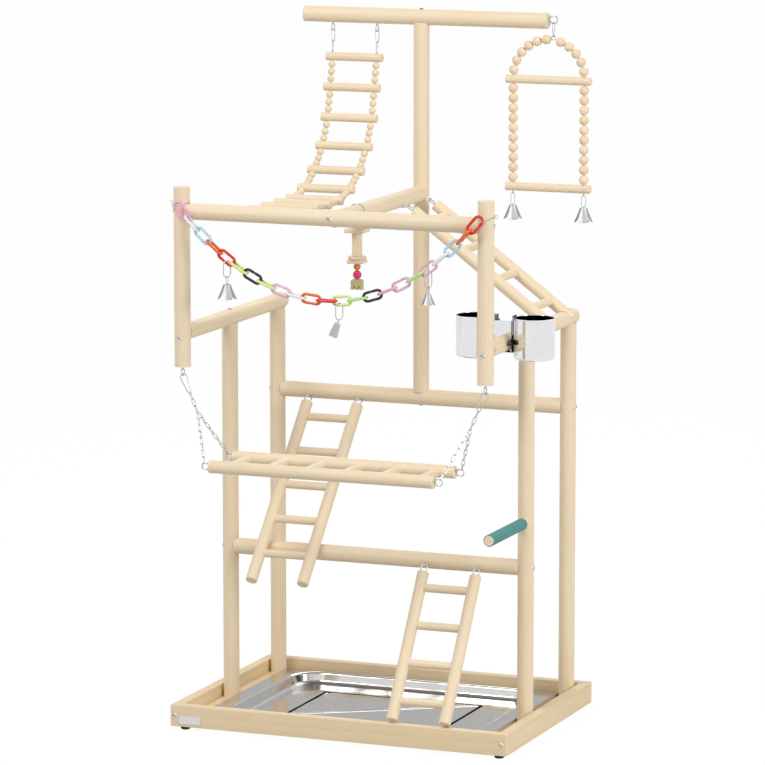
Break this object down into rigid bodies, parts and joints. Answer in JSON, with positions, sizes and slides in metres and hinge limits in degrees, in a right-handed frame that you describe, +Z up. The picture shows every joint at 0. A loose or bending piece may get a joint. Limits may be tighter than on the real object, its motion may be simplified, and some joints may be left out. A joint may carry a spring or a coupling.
{
  "type": "parrot play stand",
  "caption": "Free-standing wooden bird perch stand: tray base, posts and bars, mast, three ladders, bead ladder, arch swing, hanging platform, cups and link garland.",
  "frame": {"origin": "under the middle of the whole object's box, on the floor that the feet stand on", "axes": "+X to the right seen from the front, +Y to the back, +Z up"},
  "size_m": [0.672, 0.5181, 1.2329],
  "materials": {
    "natural_wood": "sanded pine, unvarnished",
    "base_wood": "sanded pine boards",
    "black_rubber": "matt",
    "plate_metal": "satin, bare",
    "screw_steel": "zinc plated",
    "wire_steel": "bright nickel plated wire",
    "bell_metal": "bright nickel plated sheet",
    "teal_grit": "coarse grit coat",
    "tray_steel": "polished stainless sheet",
    "cup_steel": "mirror polished stainless",
    "black_plastic": "moulded",
    "link_plastic": "glossy, links of many colours",
    "painted_beads": "dyed wood, orange and pink"
  },
  "bodies": {
    "stand": {"base_front_rail": "base_wood", "base_back_rail": "base_wood", "base_left_rail": "base_wood", "base_right_rail": "base_wood", "tray_ledges": "base_wood", "base_feet": "black_rubber", "name_plate": "plate_metal", "screws": "screw_steel", "screw_eyes": "wire_steel", "garland_ties": "wire_steel", "front_post_left": "natural_wood", "front_post_right": "natural_wood", "back_post_left": "natural_wood", "back_post_right": "natural_wood", "upper_back_rail": "natural_wood", "low_rail": "natural_wood", "top_bar_left": "natural_wood", "top_bar_right": "natural_wood", "upper_post_left": "natural_wood", "upper_post_right": "natural_wood", "front_beam": "natural_wood", "centre_bar": "natural_wood", "mast": "natural_wood", "crossbar": "natural_wood", "grit_perch_core": "natural_wood", "grit_perch_sleeve": "teal_grit", "cup_clamp": "cup_steel"},
    "tray": {"tray": "tray_steel"},
    "cup_left": {"cup_left": "cup_steel"},
    "cup_right": {"cup_right": "cup_steel"},
    "clamp_knob": {"clamp_knob": "black_plastic"},
    "ladder_a": {"ladder_a_rails": "natural_wood", "ladder_a_rungs": "natural_wood", "ladder_a_eyes": "wire_steel"},
    "ladder_b": {"ladder_b_rails": "natural_wood", "ladder_b_rungs": "natural_wood", "ladder_b_eyes": "wire_steel"},
    "ladder_c": {"ladder_c_rails": "natural_wood", "ladder_c_rungs": "natural_wood", "ladder_c_eyes": "wire_steel"},
    "platform": {"platform_rails": "natural_wood", "platform_rungs": "natural_wood", "platform_chains": "wire_steel"},
    "swing": {"swing_beads": "natural_wood", "swing_perches": "natural_wood", "swing_wire": "wire_steel"},
    "swing_bell_left": {"swing_bell_left": "bell_metal"},
    "swing_bell_right": {"swing_bell_right": "bell_metal"},
    "garland": {"garland_links": "link_plastic"},
    "garland_bell": {"garland_bell": "bell_metal"},
    "garland_cowbell": {"garland_cowbell": "bell_metal"},
    "garland_small_bell": {"garland_small_bell": "bell_metal"},
    "foraging_toy": {"toy_wood": "natural_wood", "toy_beads": "painted_beads", "toy_wire": "wire_steel"},
    "string_upper": {"string_ladder_upper": "natural_wood", "string_hooks_upper": "wire_steel"},
    "string_middle": {"string_ladder_middle": "natural_wood"},
    "string_lower": {"string_ladder_lower": "natural_wood", "string_hooks_lower": "wire_steel"}
  },
  "joints": [
    {"name": "tray_lift", "type": "slide", "parent": "stand", "child": "tray", "axis": [0, 0, 1], "range_m": [0, 0.03]},
    {"name": "cup_left_lift", "type": "slide", "parent": "stand", "child": "cup_left", "axis": [0, 0, 1], "range_m": [0, 0.04]},
    {"name": "cup_right_lift", "type": "slide", "parent": "stand", "child": "cup_right", "axis": [0, 0, 1], "range_m": [0, 0.04]},
    {"name": "clamp_knob_turn", "type": "hinge", "parent": "stand", "child": "clamp_knob", "pos_m": [0.2649, -0.1301, 0.7045], "axis": [1, 0, 0], "continuous": true},
    {"name": "ladder_a_swing", "type": "hinge", "parent": "stand", "child": "ladder_a", "pos_m": [-0.231, 0.1959, 0.5372], "axis": [1, 0, 0], "range_deg": [-25, 0]},
    {"name": "ladder_b_swing", "type": "hinge", "parent": "stand", "child": "ladder_b", "pos_m": [0.0729, -0.0181, 0.292], "axis": [1, 0, 0], "range_deg": [-60, 0]},
    {"name": "ladder_c_swing", "type": "hinge", "parent": "stand", "child": "ladder_c", "pos_m": [-0.003, 0.1994, 0.899], "axis": [0, 1, 0], "range_deg": [-18, 0]},
    {"name": "platform_swing", "type": "hinge", "parent": "stand", "child": "platform", "pos_m": [-0.30242, -0.1971, 0.62921], "axis": [1, 0, 0], "range_deg": [-25, 25]},
    {"name": "arch_swing", "type": "hinge", "parent": "stand", "child": "swing", "pos_m": [0.219, 0.2189, 1.2124], "axis": [1, 0, 0], "range_deg": [-25, 25]},
    {"name": "swing_bell_left_swing", "type": "hinge", "parent": "swing", "child": "swing_bell_left", "pos_m": [0.14513, 0.2189, 0.91562], "axis": [1, 0, 0], "range_deg": [-30, 30]},
    {"name": "swing_bell_right_swing", "type": "hinge", "parent": "swing", "child": "swing_bell_right", "pos_m": [0.27563, 0.2189, 0.91562], "axis": [1, 0, 0], "range_deg": [-30, 30]},
    {"name": "garland_swing", "type": "hinge", "parent": "stand", "child": "garland", "pos_m": [0.2522, -0.2216, 0.92058], "axis": [1, 0, 0], "range_deg": [-25, 0]},
    {"name": "garland_bell_swing", "type": "hinge", "parent": "garland", "child": "garland_bell", "pos_m": [-0.2078, -0.2216, 0.82795], "axis": [0.8094, 0, -0.5873], "range_deg": [-20, 20]},
    {"name": "garland_cowbell_swing", "type": "hinge", "parent": "garland", "child": "garland_cowbell", "pos_m": [-0.00321, -0.2216, 0.76727], "axis": [0.9947, 0, 0.1031], "range_deg": [-20, 20]},
    {"name": "garland_small_bell_swing", "type": "hinge", "parent": "garland", "child": "garland_small_bell", "pos_m": [0.15661, -0.2216, 0.82854], "axis": [0.8094, 0, 0.5873], "range_deg": [-20, 20]},
    {"name": "foraging_toy_swing", "type": "hinge", "parent": "stand", "child": "foraging_toy", "pos_m": [-0.026, -0.0841, 0.907], "axis": [0, 1, 0], "range_deg": [-20, 20]},
    {"name": "bead_ladder_top", "type": "hinge", "parent": "stand", "child": "string_upper", "pos_m": [0, 0.2189, 1.1906], "axis": [1, 0, 0], "range_deg": [-0.89, 0.89]},
    {"name": "bead_ladder_upper_bend", "type": "hinge", "parent": "string_upper", "child": "string_middle", "pos_m": [0, 0.13525, 0.95616], "axis": [1, 0, 0], "range_deg": [-5, 5]},
    {"name": "bead_ladder_lower_bend", "type": "hinge", "parent": "string_middle", "child": "string_lower", "pos_m": [0, -0.01518, 0.9094], "axis": [1, 0, 0], "range_deg": [-7.77, 7.77]}
  ],
  "couplings": [
    {"joint": "bead_ladder_top", "follows": "bead_ladder_upper_bend", "ratio": -0.16782},
    {"joint": "bead_ladder_lower_bend", "follows": "bead_ladder_upper_bend", "ratio": -1.5432}
  ]
}
